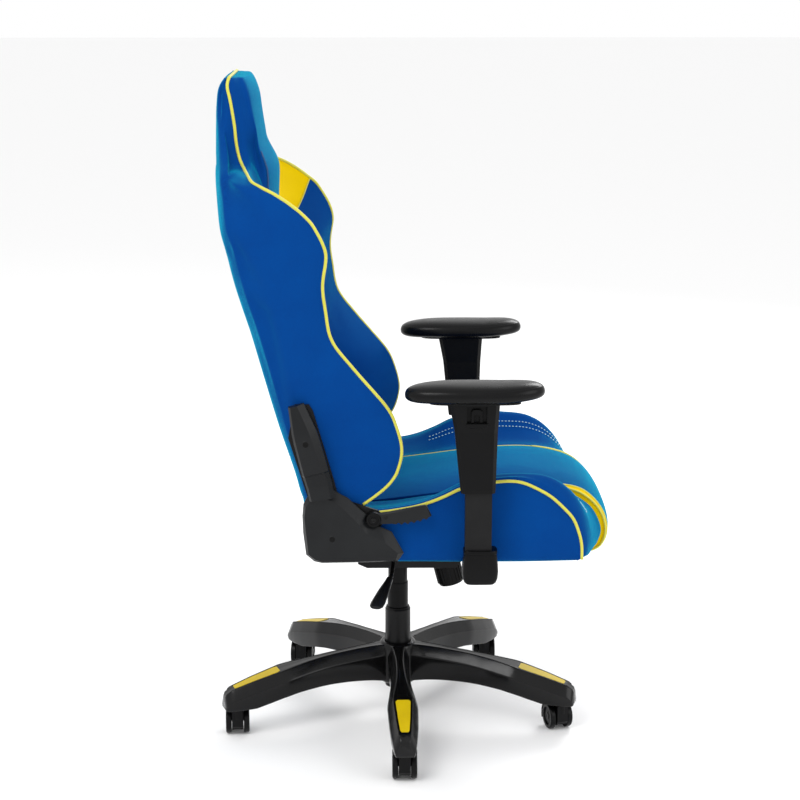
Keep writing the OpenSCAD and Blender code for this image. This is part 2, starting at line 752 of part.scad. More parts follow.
module back_fasteners() {
    color(STEEL) for (s = [RIGHT, LEFT]) for (q = BRACKET_BOLTS)
        side_bar(q.x, q.y, 3, s, 192, 278.8);
}

// ---- drawing ----

base_star();
leg_inserts();
gas_tube();
guide_bush();
lower_sleeve();
for (i = [0:LEGS - 1]) {
    caster_yoke(i);
    caster_wheel(i, -1);
    caster_wheel(i, 1);
}
gas_rod();
upper_sleeve();
gas_cylinder();
tilt_housing();
tilt_shaft();
tension_bolt();
tension_spring();
tension_knob();
height_lever();
height_grip();
seat_plate();
seat_frame();
seat_board();
seat_cushion();
seat_bolsters();
arm_bracket(RIGHT);  // arm_bracket_right
arm_bracket(LEFT);  // arm_bracket_left
arm_boot(RIGHT);  // arm_boot_right
arm_boot(LEFT);  // arm_boot_left
hinge_plate(RIGHT);  // hinge_plate_right
hinge_plate(LEFT);  // hinge_plate_left
pivot_pins();
hinge_cover(RIGHT);  // hinge_cover_right
hinge_cover(LEFT);  // hinge_cover_left
seat_fasteners();
arm_sleeve(RIGHT);  // arm_sleeve_right
arm_sleeve(LEFT);  // arm_sleeve_left
arm_pad(RIGHT);  // arm_pad_right
arm_pad(LEFT);  // arm_pad_left
arm_button(RIGHT);  // arm_button_right
arm_button(LEFT);  // arm_button_left
back_frame();
back_cushion();
back_bolsters();
back_brackets();
recliner_cover(RIGHT);  // recliner_cover_right
recliner_cover(LEFT);  // recliner_cover_left
back_fasteners();
recline_lever();
sync_rod();
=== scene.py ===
"""Gaming chair: upholstery, piping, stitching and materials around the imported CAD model."""

import json
import math

import bmesh
import bpy
import numpy as np
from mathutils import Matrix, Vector


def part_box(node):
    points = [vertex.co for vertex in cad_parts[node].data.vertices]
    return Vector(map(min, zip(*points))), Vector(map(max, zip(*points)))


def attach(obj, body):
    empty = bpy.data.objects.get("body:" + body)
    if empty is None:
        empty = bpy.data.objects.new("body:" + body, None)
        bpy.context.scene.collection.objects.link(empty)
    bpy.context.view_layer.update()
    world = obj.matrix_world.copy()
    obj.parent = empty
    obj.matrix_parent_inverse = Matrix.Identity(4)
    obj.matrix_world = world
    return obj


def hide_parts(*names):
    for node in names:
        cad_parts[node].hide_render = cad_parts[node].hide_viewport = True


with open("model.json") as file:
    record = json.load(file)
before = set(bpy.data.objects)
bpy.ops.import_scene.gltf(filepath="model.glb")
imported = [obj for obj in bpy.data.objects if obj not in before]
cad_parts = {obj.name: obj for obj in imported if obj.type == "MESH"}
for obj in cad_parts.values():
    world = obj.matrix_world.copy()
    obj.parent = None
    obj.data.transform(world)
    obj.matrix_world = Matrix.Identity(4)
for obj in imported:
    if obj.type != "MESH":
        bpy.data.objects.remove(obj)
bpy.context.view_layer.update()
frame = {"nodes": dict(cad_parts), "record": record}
scene = bpy.context.scene
MM = 0.001
SIDES = ((-1, "right"), (1, "left"))    # sign of y on each side of the sitter

# ---------------------------------------------------------------- camera, light, floor
CAMERA_AT = Vector((-0.0396, -3.660, 1.4992))
CAMERA_AIM = Vector((0.0117, 0.9737, -0.2272))
LENS_MM = 87.3
SENSOR_MM = 36
FLOOR_SIZE = 60
FLOOR_GAP = 0.0004                      # keeps the wheels just off the floor's plane
# Soft lights: name, place, aim, width of the disc, watts.
LIGHTS = [("key", (-1.6, -2.4, 3.6), (0, 0, 0.7), 2.0, 70),
          ("fill", (2.8, -2.2, 1.9), (0, 0, 0.6), 2.2, 26),
          ("rim", (1.5, 2.6, 2.8), (0, 0, 0.8), 1.6, 60)]


def make_camera():
    data = bpy.data.cameras.new("camera")
    data.lens, data.sensor_width = LENS_MM, SENSOR_MM
    camera = bpy.data.objects.new("camera", data)
    scene.collection.objects.link(camera)
    camera.location = CAMERA_AT
    camera.rotation_mode = "QUATERNION"
    camera.rotation_quaternion = CAMERA_AIM.to_track_quat("-Z", "Y")
    scene.camera = camera


def area_light(name, place, aim, size, watts):
    data = bpy.data.lights.new(name, "AREA")
    data.shape, data.size, data.energy = "DISK", size, watts
    light = bpy.data.objects.new(name, data)
    light.location = place
    light.rotation_mode = "QUATERNION"
    light.rotation_quaternion = (Vector(aim) - Vector(place)).to_track_quat("-Z", "Y")
    scene.collection.objects.link(light)


def make_stage():
    world = bpy.data.worlds.new("studio")
    world.use_nodes = True
    world.node_tree.nodes["Background"].inputs[0].default_value = (1, 1, 1, 1)
    world.node_tree.nodes["Background"].inputs[1].default_value = 1.0
    scene.world = world
    scene.view_settings.view_transform = "Standard"
    for light in LIGHTS:
        area_light(*light)
    bpy.ops.mesh.primitive_plane_add(size=FLOOR_SIZE, location=(0, 0, -FLOOR_GAP))
    floor = bpy.context.object
    floor.name = "floor"
    floor.data.materials.append(plain("floor_paper", (0.94, 0.94, 0.94), 0.9))


# ---------------------------------------------------------------- materials
def shader(name, color, rough, **sockets):
    """A new material and its Principled shader, with constant values set on the sockets."""
    mat = bpy.data.materials.new(name)
    mat.use_nodes = True
    bsdf = mat.node_tree.nodes["Principled BSDF"]
    bsdf.inputs["Base Color"].default_value = (*color, 1)
    bsdf.inputs["Roughness"].default_value = rough
    for key, value in sockets.items():
        bsdf.inputs[key.replace("_", " ")].default_value = value
    return mat, bsdf


def plain(name, color, rough):
    return shader(name, color, rough)[0]


class Nodes:
    """Short calls for the nodes of one material."""

    def __init__(self, mat):
        self.tree = mat.node_tree

    def add(self, kind, values=None, **settings):
        node = self.tree.nodes.new(kind)
        for key, value in settings.items():
            setattr(node, key, value)
        for key, value in (values or {}).items():
            if isinstance(value, bpy.types.NodeSocket):
                self.tree.links.new(value, node.inputs[key])
            else:
                node.inputs[key].default_value = value
        return node

    def math(self, operation, a, b):
        return self.add("ShaderNodeMath", {0: a, 1: b}, operation=operation).outputs[0]

    def position(self):
        return self.add("ShaderNodeTexCoord").outputs["Object"]

    def noise(self, scale, detail=3.0, rough=0.5):
        values = {"Vector": self.position(), "Scale": scale, "Detail": detail, "Roughness": rough}
        return self.add("ShaderNodeTexNoise", values).outputs["Fac"]

    def ramp(self, value, stops):
        node = self.add("ShaderNodeValToRGB", {0: value})
        for i, (at, color) in enumerate(stops):
            stop = node.color_ramp.elements[i] if i < 2 else node.color_ramp.elements.new(at)
            stop.position, stop.color = at, (*color, 1)
        return node.outputs["Color"]

    def span(self, value, low, high):
        values = {"Value": value, "To Min": low, "To Max": high}
        return self.add("ShaderNodeMapRange", values).outputs["Result"]

    def bump(self, height, strength, distance, before=None):
        values = {"Height": height, "Strength": strength, "Distance": distance}
        if before is not None:
            values["Normal"] = before
        return self.add("ShaderNodeBump", values).outputs["Normal"]

    def link(self, output, socket):
        self.tree.links.new(output, socket)


WEAVE_MM = 1.5


def weave(nodes):
    """Height of a plain weave whose threads run across every face of the chair."""
    parts = nodes.add("ShaderNodeSeparateXYZ", {0: nodes.position()}).outputs
    along = nodes.math("ADD", parts["X"], parts["Y"])
    across = nodes.math("ADD", parts["Z"], nodes.math("MULTIPLY", nodes.math(
        "SUBTRACT", parts["X"], parts["Y"]), 0.5))
    turns = 2 * math.pi / (WEAVE_MM * MM)
    warp = nodes.math("SINE", nodes.math("MULTIPLY", along, turns), 0)
    weft = nodes.math("SINE", nodes.math("MULTIPLY", across, turns), 0)
    return nodes.span(nodes.math("MULTIPLY", warp, weft), 0, 1)


def fabric(name, light, dark, sheen_tint, sheen=0.5):
    """Woven cloth: threads lighter than the gaps, soft blotches, slubs and a grazing sheen."""
    mat, bsdf = shader(name, light, 0.85, Sheen_Weight=sheen, Sheen_Roughness=0.35,
                       Sheen_Tint=(*sheen_tint, 1), Specular_IOR_Level=0.06)
    n = Nodes(mat)
    height = weave(n)
    blotch = n.noise(9, 4, 0.6)
    slub = n.noise(420, 2)
    mixed = n.math("ADD", n.math("MULTIPLY", height, 0.35),
                   n.math("ADD", n.math("MULTIPLY", blotch, 0.45), n.math("MULTIPLY", slub, 0.25)))
    n.link(n.ramp(mixed, [(0.25, dark), (0.75, light)]), bsdf.inputs["Base Color"])
    n.link(n.span(slub, 0.78, 0.95), bsdf.inputs["Roughness"])
    soft = n.bump(n.noise(26, 3), 0.25, 0.004)
    n.link(n.bump(height, 0.35, 0.0004, soft), bsdf.inputs["Normal"])
    return mat


def cord_cloth(name, light, dark):
    """Piping: smooth tape with diagonal threads."""
    mat, bsdf = shader(name, light, 0.55, Sheen_Weight=0.25, Sheen_Roughness=0.4)
    n = Nodes(mat)
    wave = n.add("ShaderNodeTexWave", {"Vector": n.position(), "Scale": 260, "Distortion": 1.5},
                 bands_direction="DIAGONAL").outputs["Fac"]
    tone = n.math("ADD", n.math("MULTIPLY", wave, 0.4), n.math("MULTIPLY", n.noise(30), 0.6))
    n.link(n.ramp(tone, [(0.2, dark), (0.8, light)]), bsdf.inputs["Base Color"])
    n.link(n.bump(wave, 0.3, 0.0003), bsdf.inputs["Normal"])
    return mat


def plastic(name, light, dark, rough, grain=0.12, grain_scale=900, coat=0.0, shine=0.22):
    """Moulded plastic: fine pebble grain, uneven colour and slightly uneven gloss."""
    mat, bsdf = shader(name, light, rough, Coat_Weight=coat, Coat_Roughness=0.1,
                       Specular_IOR_Level=shine)
    n = Nodes(mat)
    cloud = n.noise(14, 5, 0.6)
    n.link(n.ramp(cloud, [(0.3, dark), (0.75, light)]), bsdf.inputs["Base Color"])
    n.link(n.span(n.noise(60, 4), rough - 0.07, rough + 0.09), bsdf.inputs["Roughness"])
    pebble = n.add("ShaderNodeTexVoronoi", {"Vector": n.position(), "Scale": grain_scale})
    n.link(n.bump(pebble.outputs["Distance"], grain, 0.0003), bsdf.inputs["Normal"])
    return mat


def metal(name, color, rough, metallic=1.0, grain=0.1, grain_scale=240):
    """Painted or bare steel: flat colour shifts with faint roughness streaks."""
    mat, bsdf = shader(name, color, rough, Metallic=metallic, Specular_IOR_Level=0.16)
    n = Nodes(mat)
    darker = tuple(c * 0.7 for c in color)
    n.link(n.ramp(n.noise(22, 4), [(0.3, darker), (0.7, color)]), bsdf.inputs["Base Color"])
    n.link(n.span(n.noise(130, 3), rough - 0.08, rough + 0.1), bsdf.inputs["Roughness"])
    n.link(n.bump(n.noise(grain_scale, 2), grain, 0.0003), bsdf.inputs["Normal"])
    return mat


def plywood(name):
    """Stained board: faint grain lines running along the seat."""
    mat, bsdf = shader(name, (0.09, 0.06, 0.035), 0.7, Specular_IOR_Level=0.2)
    n = Nodes(mat)
    grain = n.add("ShaderNodeTexWave", {"Vector": n.position(), "Scale": 55, "Distortion": 1.5,
                                        "Detail": 3}, bands_direction="Y").outputs["Fac"]
    n.link(n.ramp(grain, [(0.2, (0.075, 0.048, 0.027)), (0.8, (0.10, 0.068, 0.04))]),
           bsdf.inputs["Base Color"])
    n.link(n.bump(grain, 0.05, 0.0002), bsdf.inputs["Normal"])
    return mat


BLACK = (0.003, 0.003, 0.0034)
DEEP_BLACK = (0.002, 0.002, 0.0022)
MAT = {
    "blue": fabric("blue_weave", (0.0, 0.056, 0.255), (0.0, 0.034, 0.185),
                   (0.0, 0.62, 0.72), 0.8),
    "yellow": fabric("yellow_weave", (0.80, 0.56, 0.0), (0.68, 0.46, 0.0),
                     (1, 0.8, 0.2), 0.1),
    "piping": cord_cloth("piping_tape", (0.60, 0.58, 0.07), (0.52, 0.48, 0.03)),
    "thread": cord_cloth("pale_thread", (0.55, 0.78, 0.85), (0.35, 0.6, 0.7)),
    "blue_thread": cord_cloth("blue_thread", (0.0, 0.05, 0.2), (0.0, 0.03, 0.15)),
    "cover": plastic("cover_plastic", (0.009, 0.010, 0.011), (0.006, 0.0065, 0.0075), 0.36,
                     shine=0.18),
    "arm": plastic("arm_plastic", (0.003, 0.003, 0.0033), DEEP_BLACK, 0.32, shine=0.11),
    "pad": plastic("pad_skin", BLACK, DEEP_BLACK, 0.28, 0.2, 520, shine=0.16),
    "gloss": plastic("base_gloss", (0.003, 0.003, 0.0033), (0.0015, 0.0015, 0.0017), 0.2,
                     0.03, 700, 0.12, 0.2),
    "insert": plastic("insert_plastic", (0.62, 0.46, 0.004), (0.52, 0.37, 0.003), 0.4, 0.08),
    "caster": plastic("caster_plastic", BLACK, DEEP_BLACK, 0.3, shine=0.14),
    # Near-black colour for the disc inside each screw hole: painted shade where the hole's depth
    # would be dark.
    "hole_shade": plastic("hole_shadow", (0.0012, 0.0012, 0.0012), (0.0006, 0.0006, 0.0006), 0.8),
    "column": metal("column_paint", (0.005, 0.005, 0.0055), 0.3, 0.0),
    "steel": metal("bare_steel", (0.56, 0.57, 0.59), 0.3),
    "coat": metal("powder_coat", (0.007, 0.007, 0.0075), 0.45, 0.0, 0.4, 500),
    "wood": plywood("plywood"),
}
SLOT_LOOK = {
    "base_plastic": "gloss", "insert_plastic": "insert", "column_paint": "column",
    "sleeve_plastic": "arm", "caster_plastic": "caster", "wheel_plastic": "caster",
    "steel": "steel", "black_steel": "coat", "knob_plastic": "arm", "cover_plastic": "cover",
    "arm_plastic": "arm", "pad_plastic": "pad", "seat_fabric": "blue", "back_fabric": "blue",
    "plywood": "wood"}


def soft_edges(obj, width, turn):
    """Rounds the edges that turn more than so many degrees."""
    bevel = obj.modifiers.new("edge", "BEVEL")
    bevel.width, bevel.segments, bevel.limit_method = width * MM, 2, "ANGLE"
    bevel.angle_limit = math.radians(turn)
    obj.modifiers.new("shade", "WEIGHTED_NORMAL").keep_sharp = True


def dress_cad():
    """Every CAD node gets its slot's look, softened edges and smooth curved faces."""
    slots = {s["node"]: s["material_slot"] for s in frame["record"]["subparts"]}
    for name, node in frame["nodes"].items():
        node.data.materials.clear()
        node.data.materials.append(MAT[SLOT_LOOK[slots[name]]])
        node.data.polygons.foreach_set("use_smooth", [True] * len(node.data.polygons))
        soft_edges(node, 0.7, 32)


# ---------------------------------------------------------------- mesh helpers, millimetres
def catmull(a, b, c, d, t):
    """Points at shares t of the way from b to c on a Catmull-Rom curve."""
    return 0.5 * (2 * b + (c - a) * t + (2 * a - 5 * b + 4 * c - d) * t**2
                  + (3 * b - a - 3 * c + d) * t**3)


def with_ends(points):
    """The points, and one more beyond each end, straight on."""
    p = np.array(points, float)
    return np.vstack([2 * p[0] - p[1], p, 2 * p[-1] - p[-2]])


def spline(points, count):
    """A smooth curve through the points, as evenly spaced points."""
    ends = with_ends(points)
    t = np.linspace(0, 1, 24, endpoint=False)[:, None]
    runs = [catmull(*four, t) for four in zip(ends, ends[1:], ends[2:], ends[3:])]
    q = np.vstack([*runs, ends[-2:-1]])
    s = np.r_[0, np.cumsum(np.linalg.norm(np.diff(q, axis=0), axis=1))]
    u = np.linspace(0, s[-1], count)
    return np.stack([np.interp(u, s, q[:, k]) for k in range(q.shape[1])], 1)


def at_height(profile, z):
    """First coordinate of a smooth profile of (value, height) pairs, at heights z."""
    q = spline(profile, 600)
    order = np.argsort(q[:, 1])
    return np.interp(z, q[order, 1], q[order, 0])


def ease(value, low, high):
    t = np.clip((value - low) / (high - low), 0, 1)
    return t * t * (3 - 2 * t)


def hump(value, centre, width):
    return np.exp(-((value - centre) / width) ** 2)


def section(points, counts):
    """A smooth curve with its own number of steps between each two points."""
    ends = with_ends(points)
    runs = [catmull(*ends[i:i + 4], (np.arange(count) / count)[:, None])
            for i, count in enumerate(counts)]
    return np.vstack([*runs, ends[-2:-1]])


def quads(rows, count, first=0):
    """Corners of the faces between closed rows of count points, which start at first."""
    for i in range(rows - 1):
        low, high = first + i * count, first + (i + 1) * count
        for j in range(count):
            k = (j + 1) % count
            yield low + j, low + k, high + k, high + j


def add_mesh(name, verts, faces, looks, look_of=None):
    mesh = bpy.data.meshes.new(name)
    mesh.from_pydata((np.asarray(verts, float) * MM).tolist(), [], faces)
    obj = bpy.data.objects.new(name, mesh)
    scene.collection.objects.link(obj)
    for look in looks:
        mesh.materials.append(MAT[look])
    if look_of is not None:
        mesh.polygons.foreach_set("material_index", look_of)
    mesh.polygons.foreach_set("use_smooth", [True] * len(faces))
    mesh.update()
    return obj


def ring_shell(name, rings, looks, look_of=None):
    """A closed skin over rings of equal length. look_of(row, column) picks each face's look."""
    rings = np.asarray(rings, float)
    m, n = rings.shape[:2]
    verts = list(rings.reshape(-1, 3))
    faces = [(a, d, c, b) for a, b, c, d in quads(m, n)]
    chosen = [look_of(i, j) if look_of else 0 for i in range(m - 1) for j in range(n)]
    for row, start, flip in ((0, 0, False), (m - 1, (m - 1) * n, True)):
        centre = len(verts)
        verts.append(rings[row].mean(0))
        for j in range(n):
            a, b = start + j, start + (j + 1) % n
            faces.append((centre, b, a) if flip else (centre, a, b))
            chosen.append(0)
    return add_mesh(name, verts, faces, looks, chosen)


def tube(name, path, radius, look, body, sides=10):
    """A round cord along a path, with closed ends."""
    p = np.asarray(path, float)
    tangent = np.gradient(p, axis=0)
    tangent /= np.linalg.norm(tangent, axis=1)[:, None]
    side = np.cross(tangent[0], (0.3, 0.5, 0.81))
    rings = []
    for at, along in zip(p, tangent):
        side = side - along * (side @ along)
        side /= np.linalg.norm(side)
        up = np.cross(along, side)
        angle = np.linspace(0, 2 * math.pi, sides, endpoint=False)[:, None]
        rings.append(at + radius * (np.cos(angle) * side + np.sin(angle) * up))
    obj = ring_shell(name, rings, [look])
    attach(obj, body)
    return obj


THREAD_SIDES = 6


def stitches(name, path, look, body, length=3.4, gap=2.4, radius=0.5):
    """A row of short threads along a path, as one piece."""
    p = np.asarray(path, float)
    s = np.r_[0, np.cumsum(np.linalg.norm(np.diff(p, axis=0), axis=1))]
    verts, faces = [], []
    for start in np.arange(0, s[-1] - length, length + gap):
        u = start + np.array([0, 0.25, 0.75, 1.0]) * length
        line = np.stack([np.interp(u, s, p[:, k]) for k in range(3)], 1)
        along = line[-1] - line[0]
        along /= np.linalg.norm(along)
        side = np.cross(along, (0.2, 0.3, 0.93))
        side /= np.linalg.norm(side)
        up = np.cross(along, side)
        base = len(verts)
        for at, thick in zip(line, (0.25, 1, 1, 0.25)):
            for a in np.linspace(0, 2 * math.pi, THREAD_SIDES, endpoint=False):
                verts.append(at + thick * radius * (math.cos(a) * side + math.sin(a) * up))
        faces += [(a, d, c, b) for a, b, c, d in quads(4, THREAD_SIDES, base)]
        faces.append(tuple(base + j for j in range(THREAD_SIDES)))
        faces.append(tuple(range(len(verts) - 1, len(verts) - 1 - THREAD_SIDES, -1)))
    obj = add_mesh(name, verts, faces, [look])
    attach(obj, body)
    return obj


def puff(obj, pinned, pressure, cap, frames=14):
    """Fills a skin with air between its pinned seams, and keeps the result."""
    mesh = obj.data
    rest = np.array([v.co for v in mesh.vertices], float)
    group = obj.vertex_groups.new(name="seams")
    group.add([int(i) for i in np.flatnonzero(pinned)], 1.0, "REPLACE")
    cloth = obj.modifiers.new("cloth", "CLOTH")
    cloth.settings.quality = 5
    cloth.settings.mass = 0.25
    cloth.settings.tension_stiffness = cloth.settings.compression_stiffness = 12
    cloth.settings.bending_stiffness = 0.6
    cloth.settings.use_pressure = True
    cloth.settings.uniform_pressure_force = pressure
    cloth.settings.effector_weights.gravity = 0
    cloth.settings.vertex_group_mass = "seams"
    cloth.point_cache.frame_start, cloth.point_cache.frame_end = 1, frames
    for f in range(1, frames + 1):
        scene.frame_set(f)
    depsgraph = bpy.context.evaluated_depsgraph_get()
    done = np.array([v.co for v in obj.evaluated_get(depsgraph).data.vertices], float)
    move = done - rest
    far = np.linalg.norm(move, axis=1)[:, None]
    move *= np.minimum(1, cap * MM / np.maximum(far, 1e-9))
    obj.modifiers.remove(cloth)
    obj.vertex_groups.remove(group)
    mesh.vertices.foreach_set("co", (rest + move).ravel())
    mesh.update()
    scene.frame_set(1)


def soften(obj, levels=1):
    sub = obj.modifiers.new("soft", "SUBSURF")
    sub.levels = sub.render_levels = levels


def finish_pad(obj, body, slot, fill, *nodes):
    """Rounds a padded piece, and puts it on its body in place of the CAD nodes."""
    soften(obj)
    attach(obj, body)
    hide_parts(*nodes)


# ---------------------------------------------------------------- back
WING_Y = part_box("back_bolsters")[1][1] / MM
SEAM_Y = 150.0                     # half width of the middle panel
NECK_DRAW = 44.0                   # how much that panel draws in at the neck
EDGE_ROUND = 16.0                  # radius of the back's rear edges
# Piping along a wing's front edge and up the headrest's side: (forward, height).
WING_EDGE = [(-92, 484), (-74, 505), (-30, 539), (-8, 565), (2, 595), (4, 620), (-5, 656),
             (-20, 690), (-57, 735), (-85, 768), (-121, 817), (-132, 874), (-136, 906),
             (-135, 928), (-130, 960), (-131, 976), (-139, 998), (-150, 1017), (-162, 1035),
             (-175, 1046), (-193, 1060), (-211, 1072), (-227, 1081), (-243, 1088), (-257, 1094),
             (-270, 1102), (-280, 1111), (-288, 1125), (-294, 1151), (-297, 1183), (-301, 1211),
             (-305, 1234), (-309, 1251), (-309, 1260), (-306, 1270), (-300, 1277)]
# Half width of the back at that edge, by height.
WING_HALF = [(0.985, 484), (0.995, 520), (1.0, 600), (1.003, 850), (1.0, 1000), (0.998, 1035),
             (0.995, 1060), (0.985, 1074), (0.965, 1084), (0.93, 1092), (0.84, 1098),
             (0.68, 1104), (0.56, 1111), (0.495, 1122), (0.465, 1145), (0.455, 1180),
             (0.45, 1220), (0.44, 1247), (0.42, 1261), (0.385, 1270), (0.33, 1277)]
# Half width of the back at its rear edge, which slopes in more gently above the shoulders.
REAR_HALF = [(0.985, 484), (1.0, 600), (1.0, 860), (0.99, 930), (0.97, 990), (0.92, 1045),
             (0.80, 1095), (0.61, 1130), (0.49, 1165), (0.45, 1210), (0.44, 1247), (0.41, 1261),
             (0.37, 1270), (0.31, 1277)]
REAR_EDGE = [(-170, 482), (-176, 545), (-212, 660), (-257, 818), (-283, 902), (-301, 974),
             (-311, 1010), (-317, 1063), (-323, 1105), (-328, 1145), (-331, 1185), (-331, 1215),
             (-328, 1246), (-322, 1260), (-311, 1271), (-303, 1277)]
MIDDLE_FRONT = [(-104, 482), (-118, 550), (-132, 600), (-155, 670), (-186, 750), (-212, 840),
                (-226, 930), (-229, 980), (-228, 1030), (-226, 1080), (-226, 1104),
                (-236, 1125), (-247, 1145), (-253, 1173), (-257, 1205), (-260, 1232),
                (-264, 1247), (-269, 1260), (-276, 1270), (-288, 1277)]
# Groove between the headrest's side and the padding in front of it.
CREASE = [(-222, 1050), (-236, 1070), (-249, 1087), (-256, 1098), (-260, 1121), (-263, 1146),
          (-263, 1176), (-275, 1215), (-284, 1250), (-294, 1277)]
STRIPE = (1046.0, 1094.0)          # heights of the yellow panel where it meets the piping
STRIPE_DROP = 80.0                 # how far it runs down towards the inner seam
COUNTS = [8, 5, 4, 7, 6, 3, 3, 7, 6, 6, 6]
REAR_COL = COUNTS[0]               # columns of the rear stitching, the piping and the inner seam
EDGE_COL = sum(COUNTS[:6])
SEAM_COL = sum(COUNTS[:9])
FOOT_Z, NECK_Z, HEAD_Z = 484, 1124, 1256
HEAD_TOP = (1260, 1263.5, 1266.5, 1268.8, 1270.2)


def back_section(z):
    """Control points of half a slice of the back, from the rear middle to the front middle."""
    w = float(at_height(WING_HALF, z)) * WING_Y
    edge, rear = float(at_height(WING_EDGE, z)), float(at_height(REAR_EDGE, z))
    rear_w = float(at_height(REAR_HALF, z)) * WING_Y
    drop = STRIPE_DROP * float(ease(z, 850, 1010) * (1 - ease(z, 1100, 1160)))
    low, neck = z - drop, z - 0.36 * drop
    front = float(at_height(MIDDLE_FRONT, low))
    head = float(ease(z, 1092, 1120))
    round_r = min(EDGE_ROUND, 0.4 * (edge - rear))
    seam_y = SEAM_Y - NECK_DRAW * float(ease(z, 1040, 1112))
    crease = float(at_height(CREASE, neck))
    groove = float(hump(neck, 1130, 42))
    wing_mid = (edge + (front - 8 - edge) * 0.42, w + (seam_y - w) * 0.55, z - 0.72 * drop)
    wing_seam = (front - 9, seam_y, low)
    head_mid = (crease, w - 9 - 8 * groove, neck)
    head_seam = (front - 0.4 * (front - crease), w - 15 + 4 * groove, low)

    def blend(a, b):
        return [p + (q - p) * head for p, q in zip(a, b)]

    points = [
        (rear - 12 + 9 * head, 0, z), (rear - 9 + 7 * head, 0.5 * rear_w, z),
        (rear, rear_w - round_r, z), (rear + round_r, rear_w - 1, z),
        (0.5 * (rear + edge), 0.2 * rear_w + 0.8 * w + 3, z), (edge - 9, w + 1, z), (edge, w, z),
        blend((edge - 2.5, w - 7, z - 0.08 * drop), (0.5 * (edge + crease), w - 1, z)),
        blend(wing_mid, head_mid), blend(wing_seam, head_seam),
        (front, 0.5 * min(seam_y, w), low), (front + 3, 0, low)]
    return section(points, COUNTS)


def back_heights():
    """Heights of the back's slices, closer together at the yellow panel and at the top."""
    return np.r_[np.linspace(FOOT_Z, STRIPE[0], 62), np.linspace(*STRIPE, 13)[1:],
                 np.linspace(STRIPE[1], NECK_Z, 15)[1:], np.linspace(NECK_Z, HEAD_Z, 24)[1:],
                 *HEAD_TOP]


def on_side(col, side, count):
    """A column of the left half of a slice, or its mirror image on the right half."""
    return col if side > 0 else (count - col) % count


def make_back():
    heights = back_heights()
    rings = []
    for z in heights:
        left = back_section(float(z))
        rings.append(np.vstack([left, left[1:-1][::-1] * (1, -1, 1)]))
    rings = np.array(rings)
    n = rings.shape[1]
    half = sum(COUNTS)
    cols = np.array([j if j <= half else n - j for j in range(n)])

    def look(i, j):
        col = min(cols[j], cols[(j + 1) % n])
        in_panel = STRIPE[0] <= 0.5 * (heights[i] + heights[i + 1]) <= STRIPE[1]
        return 1 if in_panel and EDGE_COL <= col < SEAM_COL else 0

    back = ring_shell("back_upholstery", rings, ["blue", "yellow"], look)
    stripe_rows = [int(np.argmin(abs(heights - s))) for s in STRIPE]
    pinned = np.zeros((len(heights), n), bool)
    pinned[:, (cols == EDGE_COL) | (cols == SEAM_COL) | (cols <= 1)] = True
    pinned[:2] = pinned[-4:] = True
    pinned[np.ix_(stripe_rows, (cols >= EDGE_COL) & (cols <= SEAM_COL))] = True
    puff(back, np.r_[pinned.ravel(), True, True], 1.2, 7)
    finish_pad(back, "back", "back_fabric", 0.8, "back_cushion", "back_bolsters")
    trim_back(rings, stripe_rows)


def trim_back(rings, stripe_rows):
    """Seams, piping and stitching, along columns of the back's slices."""
    n = rings.shape[1]
    for side, name in SIDES:
        seam = rings[4:-24, on_side(SEAM_COL, side, n)] + (1.2, 0, 0)
        tube(f"back_seam_{name}", seam, 1.1, "blue_thread", "back", sides=6)
        panel = [on_side(col, side, n) for col in range(EDGE_COL + 2, SEAM_COL + 1)]
        for row, tag in zip(stripe_rows, ("low", "high")):
            line = rings[row, panel] + (0.8, 0, 0.4)
            tube(f"panel_edge_{name}_{tag}", line, 1.3, "piping", "back", sides=6)
    left, right = rings[2:, EDGE_COL], rings[2:, n - EDGE_COL]
    lift = np.array((1, 0, 1))
    over = spline([left[-1], left[-1] * (1, 0.5, 1) + lift, left[-1] * (1, 0, 1) + lift,
                   right[-1] * (1, 0.5, 1) + lift, right[-1]], 24)
    loop = np.vstack([left, over[1:-1], right[::-1]])
    tube("back_piping", spline(loop[::2], 420), 3.0, "piping", "back")
    for name, col in (("left", REAR_COL), ("right", n - REAR_COL)):
        stitches(f"rear_stitch_{name}", rings[6:-12, col] - (0.7, 0, 0), "blue_thread", "back",
                 4.5, 2.5, 0.55)


# ---------------------------------------------------------------- seat
SKIRT_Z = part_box("seat_bolsters")[0][2] / MM
SEAT_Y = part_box("seat_bolsters")[1][1] / MM
CUSHION_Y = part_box("seat_cushion")[1][1] / MM
# Outer piping of a seat bolster: (forward, height), from the back to the front's foot.
SEAT_EDGE = [(-74, 496), (-40, 496), (0, 501), (39, 509), (79, 524), (110, 539), (145, 548),
             (173, 552), (200, 554), (224, 551), (250, 540), (277, 524), (301, 502), (318, 482),
             (328, 458), (334, 433), (335, 405)]
# Crest of the bolster, just inside the piping.
SEAT_CREST = [(-74, 499), (-40, 499), (0, 504), (39, 512), (79, 528), (110, 544), (145, 554),
              (178, 560), (205, 562), (230, 562), (258, 560), (277, 555), (299, 543), (322, 521),
              (340, 492), (350, 462), (354, 432), (350, 403)]
# Seam between bolster and cushion.
SEAT_SEAM = [(-74, 486), (-40, 486), (0, 489), (40, 495), (79, 500), (110, 505), (145, 510),
             (178, 513), (205, 515), (230, 515), (262, 514), (300, 509), (330, 499), (362, 478),
             (378, 455), (386, 428), (378, 403)]
